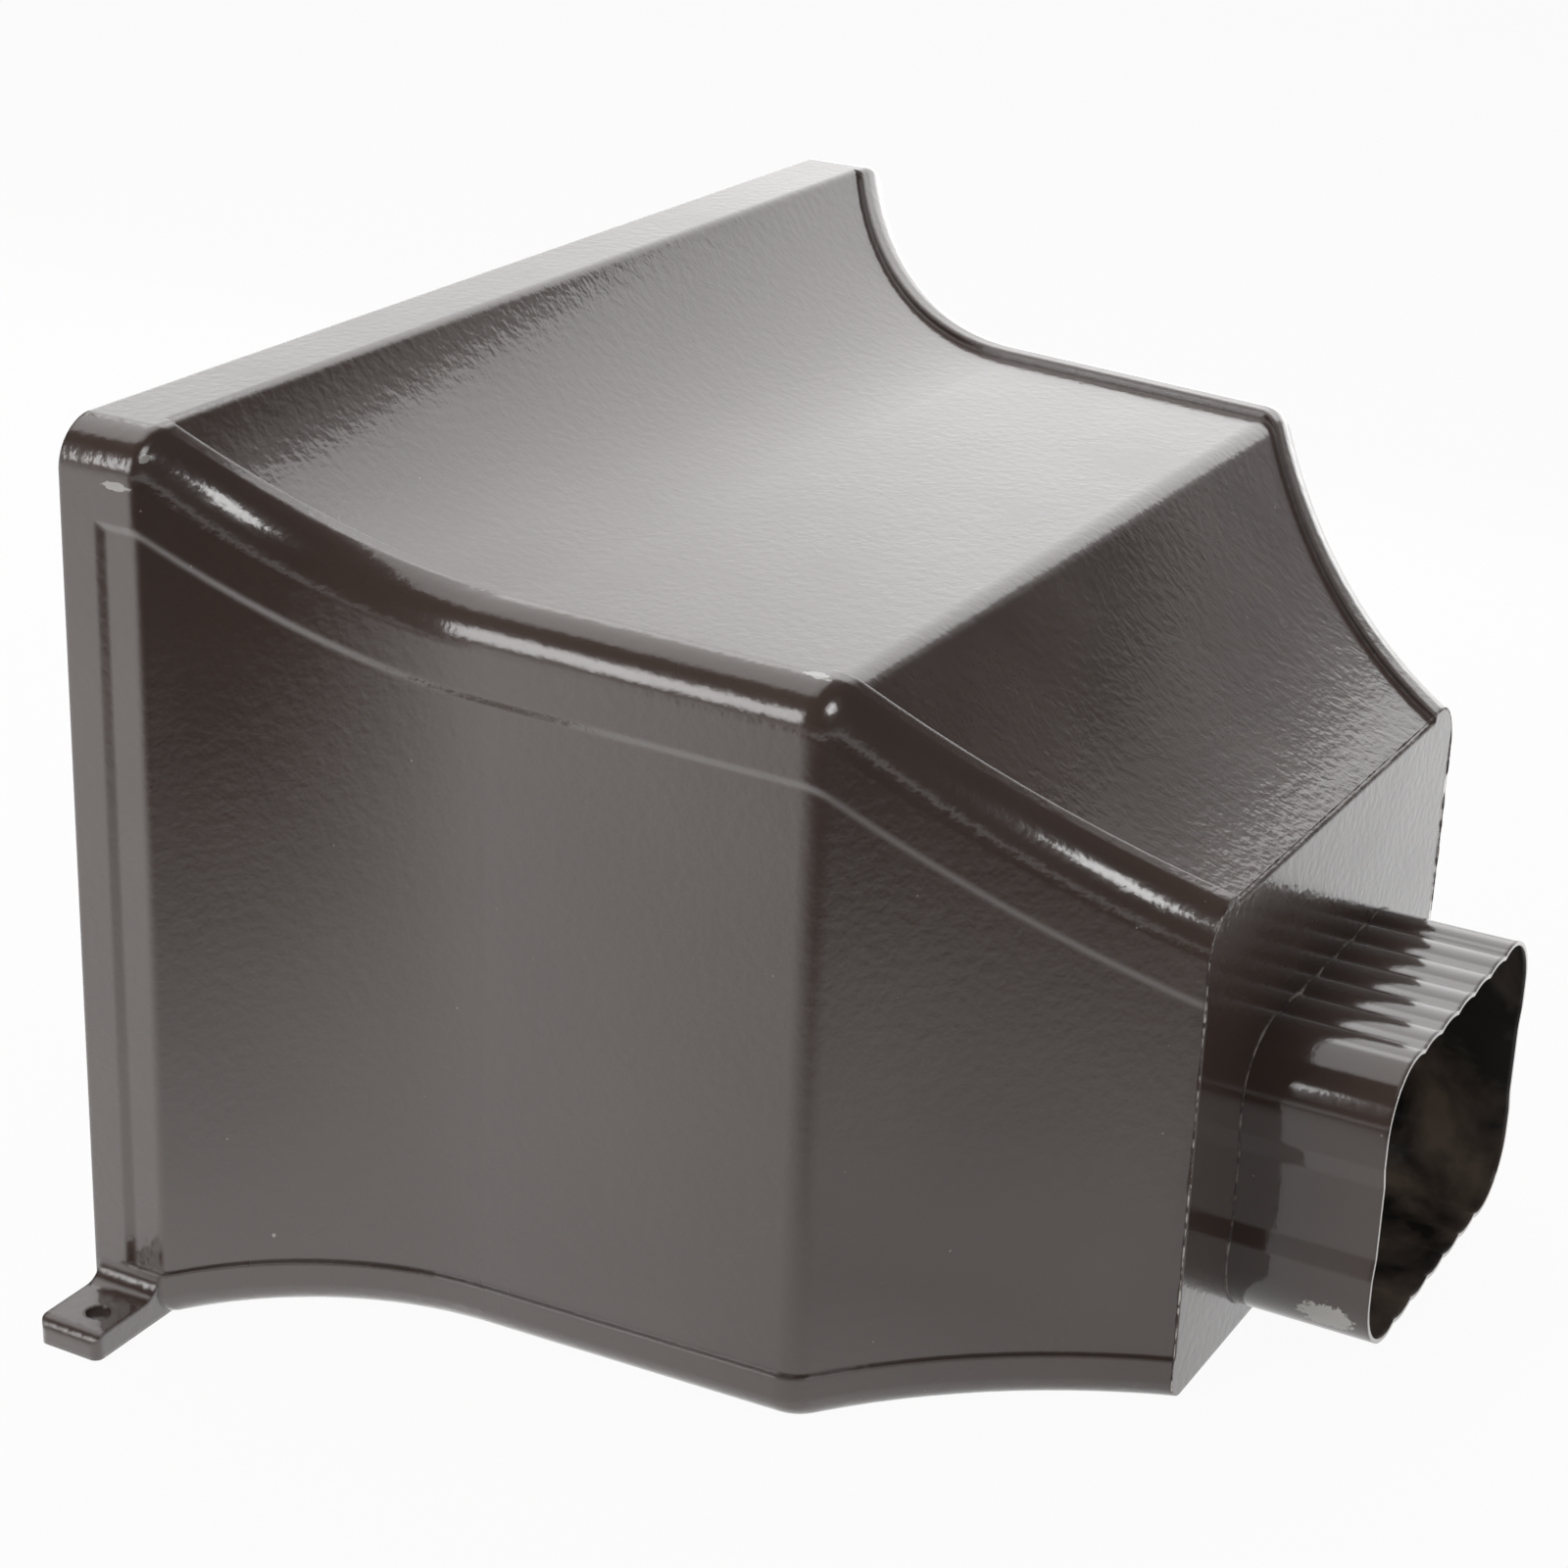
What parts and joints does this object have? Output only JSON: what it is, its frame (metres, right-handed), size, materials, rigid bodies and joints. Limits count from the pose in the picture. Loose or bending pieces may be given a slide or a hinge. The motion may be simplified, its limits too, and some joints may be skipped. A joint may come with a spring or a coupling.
{
  "type": "downspout_connector",
  "caption": "Cast rainwater head that joins a roof outlet to a downspout: coved rim, sunk panels, flat back, wall ears and a fluted rectangular outlet tube.",
  "frame": {"origin": "on the wall plane, midway between the two wall screw holes in the ears", "axes": "X across the wall, Y up the wall towards the open rim, Z out of the wall towards the front; stored lying on its flat back as pictured, so the wall plane is the floor"},
  "size_m": [0.364, 0.2525, 0.2],
  "materials": {
    "brown_paint_on_casting": "glossy dark brown paint over cast aluminium, with slight orange peel",
    "brown_paint_on_tube": "glossy dark brown paint over thin aluminium sheet, bare at the cut edge"
  },
  "bodies": {
    "root": {"head_casting": "brown_paint_on_casting", "outlet_tube": "brown_paint_on_tube"}
  },
  "joints": []
}
